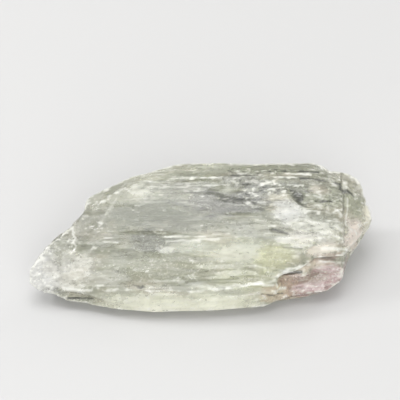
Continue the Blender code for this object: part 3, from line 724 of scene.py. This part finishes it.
class Nodes:
    """Short ways to add and join shader nodes."""

    def __init__(self, tree):
        self.tree = tree

    def add(self, kind, *values, out=0, **settings):
        """A node with its inputs filled in order. A value is a number, a tuple or another node's output."""
        node = self.tree.nodes.new("ShaderNode" + kind)
        for name, value in settings.items():
            setattr(node, name, value)
        sockets = [s for s in node.inputs if s.enabled]
        for socket, value in zip(sockets, values):
            self.put(socket, value)
        return node.outputs[out]

    def put(self, socket, value):
        """Join another node's output to a socket, or set the socket to a number or tuple."""
        if isinstance(value, bpy.types.NodeSocket):
            self.tree.links.new(value, socket)
        else:
            socket.default_value = value

    def math(self, operation, a, b):
        return self.add("Math", a, b, operation=operation)

    def ramp(self, value, start, end, to_start, to_end):
        """A smooth change from one number to another as the value goes from start to end."""
        return self.add("MapRange", value, start, end, to_start, to_end, interpolation_type="SMOOTHSTEP")

    def scaled(self, vector, scale, shift=(0.0, 0.0, 0.0)):
        """The vector times a scale along each axis, and then shifted."""
        return self.add("VectorMath", vector, scale, shift, operation="MULTIPLY_ADD")

    def pattern(self, points, along, shift, scale, detail, roughness):
        """Noise from 0 to 1. It is drawn out along the crystal where its scale along it is below 1."""
        node = self.tree.nodes.new("ShaderNodeTexNoise")
        self.put(node.inputs["Vector"], self.scaled(points, (along, 1.0, 1.0), shift))
        node.inputs["Scale"].default_value = scale
        node.inputs["Detail"].default_value = detail
        node.inputs["Roughness"].default_value = roughness
        return node.outputs["Fac"]

    def mix(self, factor, a, b):
        """Colour a where the factor is 0, and b where it is 1. Each is a colour or another node's output."""
        node = self.tree.nodes.new("ShaderNodeMix")
        node.data_type = "RGBA"
        self.put(node.inputs["Factor"], factor)
        for name, colour in (("A", a), ("B", b)):
            is_output = isinstance(colour, bpy.types.NodeSocket)
            self.put(node.inputs[name], colour if is_output else (*linear(colour), 1.0))
        return next(s for s in node.outputs if s.enabled)

    def stored(self, name):
        """A number kept on the mesh for each vertex."""
        return self.add("Attribute", attribute_name=name, out="Fac")

    def inside(self, points, place, strength, wobble):
        """The strength well inside a place and 0 outside it, with an edge that the wobble makes ragged."""
        centre, half = place
        offset = self.add("VectorMath", points, centre, operation="SUBTRACT")
        scaled = self.add("VectorMath", offset, tuple(1 / h for h in half), operation="MULTIPLY")
        distance = self.add("VectorMath", scaled, operation="LENGTH", out="Value")
        return self.ramp(self.math("ADD", distance, wobble), *TINT_EDGE, strength, 0.0)

    def layers(self, colour, layers, values):
        """The colour with layers over it, each one where its value says."""
        for name, start, end, strength, over, weight in layers:
            factor = self.ramp(values[name], start, end, 0.0, strength)
            if weight:
                factor = self.math("MULTIPLY", factor, values[weight])
            colour = self.mix(factor, colour, over)
        return colour


def crystal_colour(nodes, points, values):
    """The pale body colour with the places' tints, and over them hairs, laths, grain and small features.
    Some tints and features are painted light and shade.
    """
    wobble = nodes.add("MapRange", values["wobble"], 0.25, 0.75, -TINT_WOBBLE, TINT_WOBBLE)
    colour = nodes.layers(BODY_COLOUR, LAYERS_UNDER_TINTS, values)
    for place, strength, tint in TINTS:
        colour = nodes.mix(nodes.inside(points, place, strength, wobble), colour, tint)
    return nodes.layers(colour, LAYERS_OVER_TINTS, values)


def crystal_roughness(nodes, values):
    """Polished cleavage, rougher where the crystal is milky or grainy."""
    polish, frosting, grain = (nodes.ramp(values[name], *numbers) for name, *numbers in ROUGHNESS)
    return nodes.math("ADD", polish, nodes.math("ADD", frosting, grain))


def crystal_bump(nodes, values):
    """Striations and grain that are too fine for the mesh."""
    height = nodes.math("ADD", values["striations"], nodes.math("MULTIPLY", values["grain"], GRAIN_BUMP))
    bump = nodes.tree.nodes.new("ShaderNodeBump")
    bump.inputs["Distance"].default_value = BUMP_DEPTH * MM
    bump.inputs["Strength"].default_value = BUMP_STRENGTH
    nodes.put(bump.inputs["Height"], height)
    return bump.outputs["Normal"]


def kunzite(transmission):
    """See-through pale crystal: its colours, frosting and striations follow the places named above."""
    material = bpy.data.materials.new(f"kunzite_{round(100 * transmission)}")
    material.use_nodes = True
    tree = material.node_tree
    nodes = Nodes(tree)
    position = nodes.add("TexCoord", out="Object")
    points = nodes.scaled(position, (1 / MM,) * 3)
    values = {name: nodes.stored(name) for name in STORED}
    for name, settings in PATTERNS.items():
        values[name] = nodes.pattern(points, *settings)

    shader = tree.nodes["Principled BSDF"]
    nodes.put(shader.inputs["Base Color"], crystal_colour(nodes, points, values))
    nodes.put(shader.inputs["Roughness"], crystal_roughness(nodes, values))
    nodes.put(shader.inputs["Normal"], crystal_bump(nodes, values))
    shader.inputs["IOR"].default_value = IOR
    shader.inputs["Transmission Weight"].default_value = transmission
    absorption = tree.nodes.new("ShaderNodeVolumeAbsorption")
    absorption.inputs["Color"].default_value = ABSORPTION_COLOUR
    absorption.inputs["Density"].default_value = ABSORPTION_DENSITY
    tree.links.new(absorption.outputs["Volume"], tree.nodes["Material Output"].inputs["Volume"])
    return material


# ---------------------------------------------------------------- the stage

def pale_floor():
    """A wide matt floor just under the crystal."""
    bpy.ops.mesh.primitive_plane_add(size=FLOOR_SIZE, location=(0, 0, FLOOR_LEVEL))
    floor = bpy.context.object
    floor.name = "floor"
    material = bpy.data.materials.new("pale_floor")
    material.use_nodes = True
    shader = material.node_tree.nodes["Principled BSDF"]
    shader.inputs["Base Color"].default_value = FLOOR_COLOUR
    shader.inputs["Roughness"].default_value = FLOOR_ROUGHNESS
    floor.data.materials.append(material)


def soft_light(name, place, side, power):
    """A square soft light at a place, in metres, that faces the crystal."""
    light = bpy.data.lights.new(name, "AREA")
    light.shape = "SQUARE"
    light.size = side
    light.energy = power
    lamp = bpy.data.objects.new(name, light)
    lamp.location = place
    lamp.rotation_euler = (-Vector(place)).to_track_quat("-Z", "Y").to_euler()
    bpy.context.scene.collection.objects.link(lamp)


def light_room():
    """Soft lights, and an even glow from all round."""
    world = bpy.data.worlds.new("soft_room")
    world.use_nodes = True
    background = world.node_tree.nodes["Background"]
    background.inputs["Color"].default_value = ROOM_COLOUR
    background.inputs["Strength"].default_value = ROOM_STRENGTH
    bpy.context.scene.world = world
    for name, place, side, power in LIGHTS:
        soft_light(name, place, side, power)


def add_camera():
    """A camera at the photo's viewing angle."""
    forward = Vector((0, math.cos(CAMERA_ELEVATION), -math.sin(CAMERA_ELEVATION)))
    data = bpy.data.cameras.new("camera")
    data.lens = CAMERA_LENS
    data.clip_start = CAMERA_CLIP_START
    camera = bpy.data.objects.new("camera", data)
    camera.location = (Vector(CAMERA_TARGET) - forward * CAMERA_DISTANCE) * MM
    camera.rotation_euler = forward.to_track_quat("-Z", "Y").to_euler()
    bpy.context.scene.collection.objects.link(camera)
    bpy.context.scene.camera = camera


crystal = fine_crystal(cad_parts["crystal"])
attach(crystal, "root")
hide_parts("crystal")

pale_floor()
light_room()
add_camera()
bpy.context.scene.view_settings.view_transform = "Standard"
